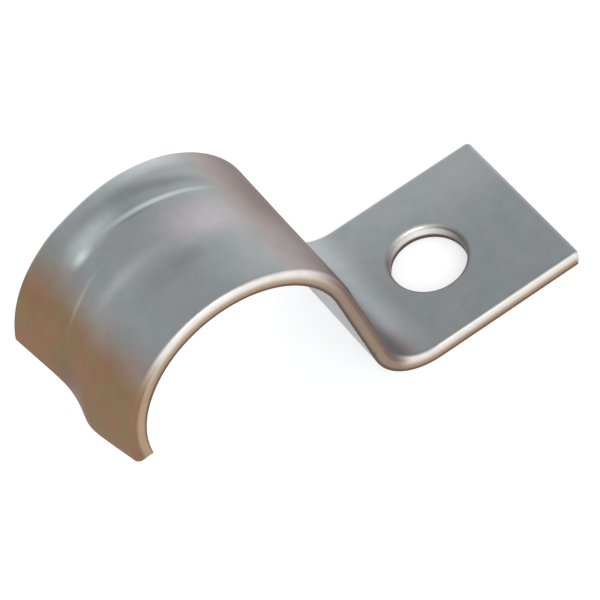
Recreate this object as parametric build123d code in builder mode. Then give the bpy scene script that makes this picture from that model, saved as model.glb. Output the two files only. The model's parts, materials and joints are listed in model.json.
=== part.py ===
from build123d import *
import os
from math import cos, exp, log, radians, sin, sqrt

# A conduit strap, pressed from one strip of sheet steel: a flat tab with a bolt hole, a bend, a leg,
# and a saddle that hooks over the conduit and stops short of the wall.
# The origin lies on the wall, in the middle of the bolt hole. +X runs along the tab to its end, +Y along
# the conduit, and +Z away from the wall. Lengths are in millimetres and angles in degrees.

# Strip
band_width = 16.0
sheet = 1.45
edge_rounding = 0.4
corner_radius = 0.45

# Tab and bolt hole
hole_to_tab_end = 9.9
hole_radius = 3.3
hole_lip = 0.4

# Bend and leg
bend_radius = 4.3
leg_lean = 10.4

# Saddle: its seat is the conduit's circle
seat_radius = 9.1
seat_height = 12.4
hole_to_seat = 20.8
free_end_angle = 182.2
end_cut_slant = 6.1

# Groove along the outside of the band: places are shares of the width, counted from the back edge
valley_place = 0.46
ridge_place = 0.68
groove_depth = 0.25
groove_lead = 30.0
valley_softness = 0.05
ridge_softness = 0.02

# Opening of the free end: how far each place across the band ends up outside the seat's circle
opening_start = 107.0
opening_power = 1.25
back_opening = 1.93
valley_opening = 0.81
ridge_opening = 1.44
front_opening = 0.17

# Sections that the saddle is lofted through, metal left inside them for the round seat to be cut to size,
# and the length past the free end that the end cut takes off
section_step = 12.0
points_across = 13
seat_allowance = 0.12
trim_angle = 14.0

half_width = band_width / 2
outer_radius = seat_radius + sheet
lean_out = cos(radians(leg_lean))
lean_up = sin(radians(leg_lean))
tangent_x = outer_radius * lean_out - hole_to_seat
tangent_z = seat_height + outer_radius * lean_up
bend_centre_z = sheet + bend_radius
leg_length = (tangent_z + bend_radius * lean_up - bend_centre_z) / lean_out
bend_centre_x = tangent_x + leg_length * lean_up + bend_radius * lean_out
half_leg = leg_length / 2
rounded_share = edge_rounding / band_width
arc_weights = [1, sqrt(0.5), 1]


def leg_point(distance, depth):
    """A point on the leg: distance down from the saddle, depth in from the outer face."""
    x = tangent_x + distance * lean_up - depth * lean_out
    z = tangent_z - distance * lean_out - depth * lean_up
    return (x, z)


def kinked_line(place, levels):
    """Level at a place across the band: straight runs with softened kinks at the valley and the ridge."""
    places = [0, valley_place, ridge_place, 1]
    softness = [valley_softness, ridge_softness]
    runs = range(len(softness) + 1)
    slopes = [(levels[i + 1] - levels[i]) / (places[i + 1] - places[i]) for i in runs]
    level = levels[0] + slopes[0] * place
    for i in runs[1:]:
        soft = softness[i - 1]
        level += (slopes[i] - slopes[i - 1]) * soft * log(1 + exp((place - places[i]) / soft))
    return level


def groove_level(place, angle):
    """How far the groove dips into the outer face. It fades in above the leg."""
    lead = min(1, (angle - leg_lean) / groove_lead)
    depth = groove_depth * lead * lead * (3 - 2 * lead)
    return kinked_line(place, [0, -depth, 0, 0])


def opening_share(angle):
    """Share of the free end's opening that is reached at an angle around the saddle."""
    return max(0, (angle - opening_start) / (free_end_angle - opening_start)) ** opening_power


def outer_point(place, radius, angle):
    """A point of the band's outer face, in the plane of its cross section."""
    opening = kinked_line(place, [back_opening, valley_opening, ridge_opening, front_opening])
    level = radius + groove_level(place, angle) + opening_share(angle) * opening
    return Vector(level, half_width - place * band_width)


def inner_point(place, radius, angle):
    """A point of the inner face, which follows the outer one only where the free end opens."""
    below = sheet + (1 - opening_share(angle)) * (groove_level(place, angle) + seat_allowance)
    return outer_point(place, radius, angle) - Vector(below, 0)


def band_section(plane, radius, angle):
    """Cross section of the band with its outer corners rounded, on a plane whose X points outwards."""
    places = [i / (points_across - 1) for i in range(points_across)]
    outer_places = [rounded_share + place * (1 - 2 * rounded_share) for place in places]
    outer_points = [outer_point(place, radius, angle) for place in outer_places]
    inner_points = [inner_point(place, radius, angle) for place in places]
    back_corner = outer_point(0, radius, angle)
    front_corner = outer_point(1, radius, angle)
    end_directions = [outer_points[0] - back_corner, front_corner - outer_points[-1]]
    inwards = Vector(-edge_rounding, 0)
    with BuildSketch(plane) as section:
        with BuildLine():
            outer_line = Edge.make_spline(outer_points, tangents=end_directions, parameters=outer_places)
            inner_line = Edge.make_spline(inner_points, parameters=places)
            add([outer_line, inner_line])
            back_round = Bezier(outer_line @ 0, back_corner, back_corner + inwards, weights=arc_weights)
            front_round = Bezier(outer_line @ 1, front_corner, front_corner + inwards, weights=arc_weights)
            Line(back_round @ 1, inner_line @ 0)
            Line(front_round @ 1, inner_line @ 1)
        make_face()
    return section.sketch


def saddle_plane(angle):
    """Plane across the saddle at an angle around the conduit, facing the free end."""
    turn = radians(angle)
    seat_centre = (-hole_to_seat, 0, seat_height)
    return Plane(origin=seat_centre, x_dir=(cos(turn), 0, sin(turn)), z_dir=(-sin(turn), 0, cos(turn)))


# Sections from the middle of the leg to just past the free end
sections = []
for distance in (half_leg, half_leg / 2):
    x, z = leg_point(distance, 0)
    leg_plane = Plane(origin=(x, 0, z), x_dir=(lean_out, 0, lean_up), z_dir=(-lean_up, 0, lean_out))
    sections.append(band_section(leg_plane, 0, leg_lean))
lofted_angle = free_end_angle + trim_angle - leg_lean
section_count = round(lofted_angle / section_step)
for i in range(section_count + 1):
    angle = leg_lean + lofted_angle * i / section_count
    sections.append(band_section(saddle_plane(angle), outer_radius, angle))
end_plane = saddle_plane(free_end_angle).rotated((end_cut_slant, 0, 0))

# The saddle and the upper half of the leg: the seat and the leg's inner face are cut to size, and the
# free end is cut off a little out of square
with BuildPart() as saddle:
    loft(sections)
    with BuildSketch(Plane.XZ):
        with Locations((-hole_to_seat, seat_height)):
            Circle(seat_radius)
        leg_inside = [(-hole_to_seat, seat_height), leg_point(0, sheet), leg_point(leg_length, sheet)]
        Polygon(*leg_inside, align=None)
    extrude(amount=band_width, both=True, mode=Mode.SUBTRACT)
    with BuildSketch(end_plane):
        with Locations((outer_radius, 0)):
            Rectangle(outer_radius, 2 * band_width)
    extrude(amount=2 * outer_radius * radians(trim_angle), mode=Mode.SUBTRACT)

# The tab, the bend and the lower half of the leg, with the edges away from the wall rounded
with BuildPart() as base:
    with BuildSketch(Plane.XZ):
        with BuildLine():
            bend_centre = (bend_centre_x, bend_centre_z)
            bend_under = CenterArc(bend_centre, bend_radius + sheet, 180 + leg_lean, 90 - leg_lean)
            bend_top = CenterArc(bend_centre, bend_radius, 180 + leg_lean, 90 - leg_lean)
            Polyline(bend_under @ 0, leg_point(half_leg, sheet), leg_point(half_leg, 0), bend_top @ 0)
            Polyline(bend_under @ 1, (hole_to_tab_end, 0), (hole_to_tab_end, sheet), bend_top @ 1)
        make_face()
    extrude(amount=half_width, both=True)
    with Locations((0, 0, sheet)):
        Hole(hole_radius, depth=sheet)
    tab_corners = base.faces().sort_by(Axis.X)[-1].edges().filter_by(Axis.Z)
    fillet(tab_corners, corner_radius)
    tab_end_rim = base.faces().sort_by(Axis.X)[-1].edges().sort_by(Axis.Z)[-1]
    fillet(tab_end_rim, edge_rounding)
    hole_rims = base.edges().filter_by(GeomType.CIRCLE).filter_by(lambda rim: rim.radius == hole_radius)
    fillet(hole_rims.sort_by(Axis.Z)[-1], hole_lip)

with BuildPart() as strap:
    add([saddle.part, base.part])

strap.part.label = "strap"
os.makedirs("parts", exist_ok=True)
export_step(strap.part, "parts/strap.step")
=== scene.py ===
# %% [markdown]
# A conduit strap, bent from one strip of zinc-plated sheet steel, as it looks on a pale studio floor.
# The strap itself is one CAD solid. This script gives that solid its finish, builds the studio around it,
# and sets up the camera at the photograph's angle.

import json
from math import cos, pi, radians, sin

import bpy
from mathutils import Matrix, Vector


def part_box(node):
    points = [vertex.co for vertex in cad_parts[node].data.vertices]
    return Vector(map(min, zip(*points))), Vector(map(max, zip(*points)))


# The frame is the CAD model: +X along the tab, +Y along the conduit, +Z away from the wall, in metres.
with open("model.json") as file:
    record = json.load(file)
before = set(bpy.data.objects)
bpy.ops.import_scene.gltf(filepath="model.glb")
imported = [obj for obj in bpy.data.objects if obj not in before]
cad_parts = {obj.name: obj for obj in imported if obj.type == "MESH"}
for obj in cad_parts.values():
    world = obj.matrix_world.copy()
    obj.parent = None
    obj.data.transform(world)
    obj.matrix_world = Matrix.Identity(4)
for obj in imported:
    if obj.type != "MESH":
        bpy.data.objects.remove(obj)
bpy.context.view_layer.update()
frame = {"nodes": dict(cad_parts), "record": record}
mounts = {mount["name"]: mount for mount in frame["record"]["mounts"]}
strap = frame["nodes"]["strap"]
print("strap loaded:", len(strap.data.polygons), "faces")

# %% [markdown]
# The finish has to land on the right places of the strap, such as its edges and the rim of its hole. It
# could be painted by hand on an image, but that would miss its places after any change of size. So the
# places are worked out from the strap's own sizes, most of which the frame gives.

# %% Driving dimensions
MM = 0.001
strap_low, strap_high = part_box("strap")
half_width = strap_high.y
band_width = strap_high.y - strap_low.y
seat = Vector(mounts["conduit_seat"]["pos_m"])
seat_radius = mounts["conduit_seat"]["dims"]["r_mm"] * MM
hole_radius = mounts["bolt_hole"]["dims"]["r_mm"] * MM
print("width", round(band_width / MM, 2), "mm, seat radius", round(seat_radius / MM, 2), "mm")

# %% [markdown]
# A finish that changes over the surface is a formula, and in Blender a formula is a tree of nodes. Dragging
# or adding them one by one hides the formula. Wires lets Python's own operators add the Math nodes, so
# that 1 - mask reads as it is meant, and its method node() adds any other node.

# %% Shader maths
class Wires:
    """One output socket that can be added, multiplied and compared like a number."""

    def __init__(self, tree, value):
        self.tree = tree
        self.value = value

    def node(self, kind, inputs=None, output=0, **settings):
        """Adds a node of any kind and returns one of its outputs."""
        made = self.tree.nodes.new(kind)
        for name, setting in settings.items():
            setattr(made, name, setting)
        for name, given in (inputs or {}).items():
            given = given.value if isinstance(given, Wires) else given
            if isinstance(given, bpy.types.NodeSocket):
                self.tree.links.new(given, made.inputs[name])
            else:
                made.inputs[name].default_value = given
        return Wires(self.tree, made.outputs[output])

    def math(self, operation, *others):
        """Adds a Math node on this socket and others."""
        numbers = dict(enumerate((self,) + others))
        return self.node("ShaderNodeMath", numbers, operation=operation)

    def __add__(self, other):
        return self.math("ADD", other)

    def __sub__(self, other):
        return self.math("SUBTRACT", other)

    def __mul__(self, other):
        return self.math("MULTIPLY", other)

    def __truediv__(self, other):
        return self.math("DIVIDE", other)

    def __neg__(self):
        return self.math("MULTIPLY", -1)

    __radd__ = __add__
    __rmul__ = __mul__

    def __rsub__(self, other):
        return -self + other

    def step(self, start, end):
        """A soft step: 0 before start, 1 after end."""
        inputs = {"Value": self, "From Min": start, "From Max": end}
        return self.node("ShaderNodeMapRange", inputs, interpolation_type="SMOOTHSTEP")

    def band(self, centre, width):
        """A soft stripe: 1 at the centre, 0 a width away on both sides."""
        return 1 - (self - centre).math("ABSOLUTE").step(0, width)

    def mix(self, other, share, first=None):
        """Blends this colour, or a given first one, into another colour."""
        inputs = {0: share, 6: first or self, 7: other}
        return self.node("ShaderNodeMix", inputs, output=2, data_type="RGBA")

    def axes(self):
        """The three numbers of this vector."""
        split = self.node("ShaderNodeSeparateXYZ", {0: self}).value.node
        return [Wires(self.tree, axis) for axis in split.outputs]

    def noise(self, size, detail):
        """Soft noise from about 0 to 1, on coordinates in metres."""
        inputs = {"Vector": self, "Scale": 1 / size, "Detail": detail, "Roughness": 0.5}
        return self.node("ShaderNodeTexNoise", inputs)


print("shader maths ready")

# %% [markdown]
# Along its length the strip is a flat tab, a bend, a leg that leans a little, and the round saddle. The
# frame doesn't give the sheet, the lean or the bend's radius, so they are repeated here from the CAD model.

# %% The bent strip
sheet = 1.45 * MM
leg_lean_degrees = 10.4
leg_lean = radians(leg_lean_degrees)
bend_radius = 4.3 * MM
outer_radius = seat_radius + sheet
leg_length = (seat.z + (outer_radius + bend_radius) * sin(leg_lean) - sheet - bend_radius) / cos(leg_lean)
bend_x = seat.x + (outer_radius + bend_radius) * cos(leg_lean) + leg_length * sin(leg_lean)
bend_z = sheet + bend_radius
print("leg", round(leg_length / MM, 2), "mm long, bend centred at x", round(bend_x / MM, 2), "mm")

# %% [markdown]
# Zinc plating is a dull grey with faint teal and lilac tints. Parts of the strap also look warm brown, from
# what they mirror. A white studio has nothing brown for the metal to mirror, so the browns and a warm grey
# are in the palette and are painted on the metal as warm reflections, the darkest brown also as painted
# shade. A darker grey is painted shade. A light grey, a pale zinc, a bright edge colour and a near white are
# painted highlights, and the light grey also colours the clean inner face. The lilac is both a tint and a
# painted highlight. All colours are plain linear ones.

# %% Palette
steel_grey = (0.38, 0.405, 0.42, 1)
shade_grey = (0.27, 0.285, 0.30, 1)
light_grey_and_highlight = (0.62, 0.67, 0.69, 1)
lilac_tint_and_highlight = (0.53, 0.493, 0.517, 1)
steel_teal = (0.34, 0.40, 0.405, 1)
pale_highlight = (0.80, 0.88, 0.90, 1)
inner_grey = (0.50, 0.52, 0.53, 1)
reflected_warm_grey = (0.47, 0.39, 0.365, 1)
reflected_warm_brown = (0.275, 0.160, 0.098, 1)
reflected_olive_brown = (0.245, 0.172, 0.095, 1)
reflected_brown_shade = (0.18, 0.120, 0.110, 1)
edge_highlight = (0.82, 0.79, 0.74, 1)
tan_edge = (0.44, 0.315, 0.215, 1)
leg_edge = (0.31, 0.235, 0.18, 1)
shaded_edge = (0.13, 0.10, 0.085, 1)
hole_highlight = (0.97, 0.95, 0.92, 1)
grazing_tint = (0.74, 0.67, 0.65, 1)
print("palette set, from", shade_grey[:3], "to", hole_highlight[:3])

# %% [markdown]
# Marks on a bent strip are easiest to place if the strip is thought of as flat again. Three fields do that:
# the angle around the saddle, where 90 degrees is the crown, the place across the band from its back edge
# to its front edge, and the gap above the face that lies against the conduit and the wall. A UV map would
# unroll the strip too, but the fields need no seams and fit the CAD mesh as it is.

# %% The three fields
steel = bpy.data.materials.new("zinc_plated_steel")
steel.use_nodes = True
tree = steel.node_tree
shader = tree.nodes["Principled BSDF"]
start = Wires(tree, None)

where = start.node("ShaderNodeTexCoord", output="Object")
x, y, z = where.axes()
out_x = x - seat.x
out_z = z - seat.z
raw_angle = out_z.math("ARCTAN2", out_x) * (180 / pi)
angle = raw_angle + 360 * raw_angle.math("LESS_THAN", -90)
place = 0.5 - y / band_width
side = y.math("ABSOLUTE")

on_tab = x.math("GREATER_THAN", bend_x)
on_bend = z.math("LESS_THAN", bend_z) * (1 - on_tab)
on_leg = angle.math("LESS_THAN", leg_lean_degrees) * (1 - on_bend) * (1 - on_tab)
on_saddle = 1 - on_leg - on_bend - on_tab
near_tab = x.step(bend_x - 4.2 * MM, bend_x - 2.4 * MM)

around_seat = (out_x * out_x + out_z * out_z).math("SQRT") - seat_radius
above_leg = out_x * cos(leg_lean) + out_z * sin(leg_lean) - seat_radius
from_bend = ((x - bend_x) * (x - bend_x) + (z - bend_z) * (z - bend_z)).math("SQRT")
gap = on_saddle * around_seat + on_leg * above_leg + on_tab * z
gap = gap + on_bend * (bend_radius + sheet - from_bend)
print("fields made with", len(tree.nodes), "nodes")


# %% [markdown]
# No plated part is one even grey. An image of metal could show that, but noise needs no UV map and doesn't
# repeat. Noise at three sizes gives large blotches, small patches of tint and fine smudges, and the
# blotches also make the borders of the stains wobble.

# %% Greys and tints
blotches = where.noise(6 * MM, detail=2)
smudges = where.noise(1.3 * MM, detail=4)
tints = where.noise(2.6 * MM, detail=1)
wobble = (blotches - 0.5) * 24

colour = start.mix(steel_teal, tints.step(0.5, 0.68) * 0.6, first=steel_grey)
colour = colour.mix(lilac_tint_and_highlight, tints.step(0.48, 0.32) * 0.2)
print("greys made with", len(tree.nodes), "nodes")

# %% [markdown]
# Soft light and dark runs cross the crown, beside the groove: painted highlights and painted shade. They
# could be shallow forms in the solid, but they are partly reflections, so they are painted as light and
# shade in the colour. Each is a patch with a middle and a reach, both around the saddle, in degrees, and
# across the band, as a share of its width.

# %% Pressed runs of painted light and shade
def patch(around, reach, across, spread):
    """A soft patch on the saddle: 1 in its middle, 0 past its reach around and its spread across."""
    return angle.band(around, reach) * place.band(across, spread)


# A lilac painted highlight on the crown, then a dark run of painted shade in front of it, and a darker zone
# of painted shade before the free end
colour = colour.mix(lilac_tint_and_highlight, patch(around=72, reach=34, across=0.5, spread=0.2))
colour = colour.mix(shade_grey, patch(around=92, reach=26, across=0.67, spread=0.12) * 0.5)
colour = colour.mix(shade_grey, angle.band(132, 18) * 0.35)

# A painted highlight behind the groove, and a dark run of painted shade that slants from it over the crown
colour = colour.mix(pale_highlight, patch(around=114, reach=22, across=0.2, spread=0.1) * 0.6)
dark_place = 0.1 + (109 - angle) * 0.0023
colour = colour.mix(shade_grey, (place - dark_place).band(0, 0.06) * angle.band(76, 34) * 0.9)

# Painted highlights along the back edge, just in front of the groove's valley, and on the very rim at the
# back
colour = colour.mix(light_grey_and_highlight, patch(around=78, reach=40, across=0.03, spread=0.09))
colour = colour.mix(light_grey_and_highlight, patch(around=112, reach=30, across=0.52, spread=0.07) * 0.4)
colour = colour.mix(pale_highlight, patch(around=100, reach=45, across=0, spread=0.03) * 0.8)
print("pressed runs made with", len(tree.nodes), "nodes")

# %% [markdown]
# The die also pressed one thin line over the crown. It is painted as a thin bright line, a painted
# highlight, with a dark crease of painted shade beside it. The line slants a little, so its place depends on
# the angle. It ends in a bright dent, a painted highlight, and a faint streak, a weaker painted highlight,
# follows the dent. How well a bump shows depends on the light that falls on it, so they are painted too.

# %% Pressing lines, painted as highlights and shade
line_slant = 0.0011
beside_line = place - 0.24 - (104 - angle) * line_slant
beside_streak = place - 0.383 - (angle - 130) * line_slant
crease = beside_line.band(0.026, 0.014) * angle.band(94, 16)
line = (1 - beside_line.math("ABSOLUTE").step(0.004, 0.022)) * angle.band(84, 36)
dent = patch(around=122, reach=8, across=0.245, spread=0.045)
streak = beside_streak.band(0, 0.022) * angle.band(134, 22)
# Painted shade in the crease, then painted highlights on the line and the dent
colour = colour.mix(shade_grey, crease * 0.6)
colour = colour.mix(pale_highlight, line * 0.7)
colour = colour.mix(pale_highlight, dent)
print("pressing lines made with", len(tree.nodes), "nodes")

# %% [markdown]
# Painted warm reflections: the free end is brown, between reddish and olive, and darkest at its tip behind
# the middle. The flank above the leg is a duller brown, painted reflection and painted shade, that fades
# into warm grey towards the crown. A brown card out of view could be mirrored there instead, but the studio
# is to stay plain and pale, so these reflections are painted into the colour.

# %% Painted warm reflections
reflected_brown = start.mix(reflected_olive_brown, tints.step(0.4, 0.62), first=reflected_warm_brown)
end_reflection = (angle + wobble * 0.5).step(122, 150)
tip_darker_reflection = angle.step(158, 172) * place.band(0.48, 0.25)
flank_reflection = angle.step(2, 18) * (1 - (angle + wobble * 0.6).step(12, 57)) * (1 - near_tab)
colour = colour.mix(reflected_brown, end_reflection)
colour = colour.mix(reflected_brown_shade, tip_darker_reflection * 0.5)
# A faint painted highlight on the streak that follows the dent
colour = colour.mix(edge_highlight, streak * 0.17)
colour = colour.mix(reflected_warm_grey, angle.band(46, 16) * 0.6)
colour = colour.mix(reflected_brown_shade, flank_reflection)
print("stains made with", len(tree.nodes), "nodes")

# %% [markdown]
# The flat tab is painted lighter at the back and darker at the front, a painted highlight and painted shade.
# The hollow of the bend is a little lighter, a painted highlight, but for a painted brown shadow at its
# front end, where it meets the leg. The tab is flat, so soft steps along x and y are enough to lay these
# tones over the greys.

# %% Tab and bend
in_bend = near_tab * (1 - x.step(bend_x - 3 * MM, bend_x))
colour = colour.mix(shade_grey, near_tab * (half_width - y).step(0, 2 * half_width) * 0.35)
colour = colour.mix(light_grey_and_highlight, in_bend * 0.15 + near_tab * y.step(0, half_width) * 0.3)
colour = colour.mix(reflected_brown_shade, in_bend * place.step(0.65, 0.95) * 0.75)
print("tab and bend made with", len(tree.nodes), "nodes")

# %% [markdown]
# The rounded edges are painted bright, a painted highlight. The sheared side faces fade across the sheet,
# from a painted highlight outside over tan to a dark line of painted shade at the inner face. On the flank
# the edges are painted darker, as shade, and the painted warm reflections reach over them as well.
# Geometry's Pointiness could find the edges, but it depends on the mesh, and their places are known here.

# %% Edges
rim_zone = side.step(half_width - 0.3 * MM, half_width - 0.05 * MM)
cut_face = side.step(half_width - 0.03 * MM, half_width - 0.01 * MM)
on_flank = (1 - angle.step(12, 50)) * (1 - near_tab)
outer_half = gap.step(0.75 * MM, 1.1 * MM)

edge = start.mix(tan_edge, cut_face * (1 - gap.step(0.4 * MM, 1.05 * MM)), first=edge_highlight)
edge = edge.mix(tan_edge, end_reflection)
edge = edge.mix(leg_edge, on_flank)
edge = edge.mix(light_grey_and_highlight, cut_face * gap.step(1.1 * MM, 1.4 * MM) * 0.6)
edge = edge.mix(reflected_brown, end_reflection * outer_half)
edge = edge.mix(reflected_brown_shade, on_flank * outer_half * 0.8)
colour = colour.mix(edge, rim_zone)
colour = colour.mix(shaded_edge, cut_face * (1 - gap.step(0.1 * MM, 0.4 * MM)))
print("edges made with", len(tree.nodes), "nodes")

# %% [markdown]
# The photograph hardly shows the inner face, so clean, light metal is a guess. Along the seat, the leg and
# the bend it is where the gap is nearly nothing. The free end is sprung open, so there the gap grows, and
# the way that the surface faces, towards the conduit or away from it, tells inside from outside.

# %% Inner face
facing = Wires(tree, where.value.node.outputs["Normal"])
facing_x, _, facing_z = facing.axes()
inwards = -(facing_x * out_x + facing_z * out_z)
inside = (1 - gap.step(0.03 * MM, 0.1 * MM)) * (1 - cut_face) * (1 - on_tab)
inside = inside.math("MAXIMUM", on_saddle * inwards.step(2 * MM, 6 * MM))
clean = start.mix(light_grey_and_highlight, blotches.step(0.3, 0.7), first=inner_grey)
colour = colour.mix(clean, inside)
print("inner face made with", len(tree.nodes), "nodes")

# %% [markdown]
# The upper rim of the bolt hole is rounded. It is painted dark all round, as shade, but for a painted
# highlight, a bright crescent at the back, and the hole's wall ends in a dark line of painted shade at the
# underside. The distance from the hole's middle, the direction from it and the height above the wall place
# all three.

# %% Bolt hole
around_hole = (x * x + y * y).math("SQRT")
hole_turn = y.math("ARCTAN2", x) * (180 / pi)
near_hole = on_tab * (1 - around_hole.step(hole_radius + 0.15 * MM, hole_radius + 0.45 * MM))
hole_wall = on_tab * (1 - around_hole.step(hole_radius + 0.01 * MM, hole_radius + 0.05 * MM))
colour = colour.mix(shaded_edge, near_hole * 0.6)
colour = colour.mix(hole_highlight, near_hole * hole_turn.band(72, 78))
colour = colour.mix(shaded_edge, hole_wall * (1 - z.step(0.3 * MM, 0.6 * MM)))
print("bolt hole made with", len(tree.nodes), "nodes")

# %% [markdown]
# The plating is bare metal, so Metallic is 1. The smudges change its tone and its roughness a little. The
# specular tint dulls what is mirrored at grazing angles, which keeps the flank's outline from turning white.

# %% The finished steel
tone = 0.86 + 0.28 * smudges
roughness = 0.34 + 0.1 * smudges
colour = colour.node("ShaderNodeVectorMath", {0: colour, "Scale": tone}, operation="SCALE")
tree.links.new(colour.value, shader.inputs["Base Color"])
tree.links.new(roughness.value, shader.inputs["Roughness"])
shader.inputs["Metallic"].default_value = 1.0
shader.inputs["Specular Tint"].default_value = grazing_tint
strap.data.materials.clear()
strap.data.materials.append(steel)
print("material made:", steel.name)

# %% [markdown]
# The floor is matt and pale. To the camera it also glows, by just enough to be white where no shadow falls,
# and the metal sees a weaker glow. Light Path tells the two apart, so the glow lights nothing else.

# %% Floor
floor_size = 0.8
camera_glow = 0.5
mirrored_glow = 0.4
pale_floor = bpy.data.materials.new("pale_floor")
pale_floor.use_nodes = True
floor_shader = pale_floor.node_tree.nodes["Principled BSDF"]
floor_shader.inputs["Base Color"].default_value = (0.8, 0.8, 0.8, 1)
floor_shader.inputs["Roughness"].default_value = 0.9
floor_shader.inputs["Emission Color"].default_value = (1, 1, 1, 1)

floor_start = Wires(pale_floor.node_tree, None)
rays = floor_start.node("ShaderNodeLightPath").value.node.outputs
seen_directly = Wires(pale_floor.node_tree, rays["Is Camera Ray"])
seen_mirrored = Wires(pale_floor.node_tree, rays["Is Glossy Ray"])
seen_through = Wires(pale_floor.node_tree, rays["Is Transmission Ray"])
glow = seen_directly * camera_glow + seen_mirrored * mirrored_glow + seen_through
pale_floor.node_tree.links.new(glow.value, floor_shader.inputs["Emission Strength"])

bpy.ops.mesh.primitive_plane_add(size=floor_size)
floor = bpy.context.object
floor.name = "floor"
floor.data.materials.append(pale_floor)
print("floor made:", floor_size, "m wide")

# %% [markdown]
# Metal shows what it mirrors, so the sky isn't one even white. It is white at the horizon and a little
# darker overhead, which gives the saddle its soft shading. An image of a studio would do as well, but dull
# metal blurs what it mirrors, so a plain change of brightness is enough.

# %% Sky
horizon_level = 1.0
overhead_level = 0.62
overhead_start = 0.8
world = bpy.data.worlds.new("studio")
bpy.context.scene.world = world
world.use_nodes = True
direction = Wires(world.node_tree, None).node("ShaderNodeTexCoord", output="Generated")
height = direction.axes()[2]
brightness = horizon_level + (overhead_level - horizon_level) * height.step(0, overhead_start)
background = world.node_tree.nodes["Background"]
world.node_tree.links.new(brightness.value, background.inputs["Color"])
print("sky made:", horizon_level, "at the horizon,", overhead_level, "overhead")

# %% [markdown]
# The photograph was taken from in front of the strap and above it, with the strap lying tilted on its bend
# and the tip of its free end. Here the strap keeps the frame, so the camera takes the tilt as a roll.

# %% Camera
camera_turn = radians(-19.327)
camera_drop = radians(51.907)
camera_roll = radians(-18.135)
camera_distance = 262.45 * MM
camera_aim = Vector((-11.209, 1.888, 3.885)) * MM
camera_lens = 190.9

# The level directions come first, then the drop of the view, and last the roll
level_right = Vector((cos(camera_turn), sin(camera_turn), 0))
level_look = Vector((-sin(camera_turn), cos(camera_turn), 0))
look = level_look * cos(camera_drop) - Vector((0, 0, sin(camera_drop)))
right = (cos(camera_roll) * level_right + sin(camera_roll) * level_right.cross(look)).normalized()
up = right.cross(look)
view_rotation = Matrix((right, up, -look)).transposed().to_4x4()

camera_data = bpy.data.cameras.new("camera")
camera_data.lens = camera_lens
camera_data.sensor_width = 36
camera_data.clip_start = 10 * MM
camera = bpy.data.objects.new("camera", camera_data)
camera.matrix_world = Matrix.Translation(camera_aim - camera_distance * look) @ view_rotation
bpy.context.scene.collection.objects.link(camera)
bpy.context.scene.camera = camera
print("camera made:", round(camera_distance / MM), "mm away")

# %% [markdown]
# Two large soft lamps: one in front for the long highlight on the saddle's front rim, and a weak one
# behind. Their size makes the highlights soft. At the photograph's angle a short stretch of that rim and a
# part of the bolt hole's crescent still reach white.

# %% Lights
strap_middle = Vector((-0.012, 0, 0.01))


def soft_light(name, spot, size, power):
    """Adds a round area lamp that points at the middle of the strap."""
    data = bpy.data.lights.new(name, "AREA")
    data.shape = "DISK"
    data.size = size
    data.energy = power
    light = bpy.data.objects.new(name, data)
    light.location = spot
    light.rotation_euler = (strap_middle - Vector(spot)).to_track_quat("-Z", "Y").to_euler()
    bpy.context.scene.collection.objects.link(light)
    print("lamp made:", name)


soft_light("front_softbox", (-0.03, -0.32, 0.23), size=0.25, power=0.35)
soft_light("back_softbox", (0.28, 0.26, 0.24), size=0.4, power=0.07)

# %% [markdown]
# The Standard view transform shows the colours as they are written.

# %% View settings
bpy.context.scene.view_settings.view_transform = "Standard"
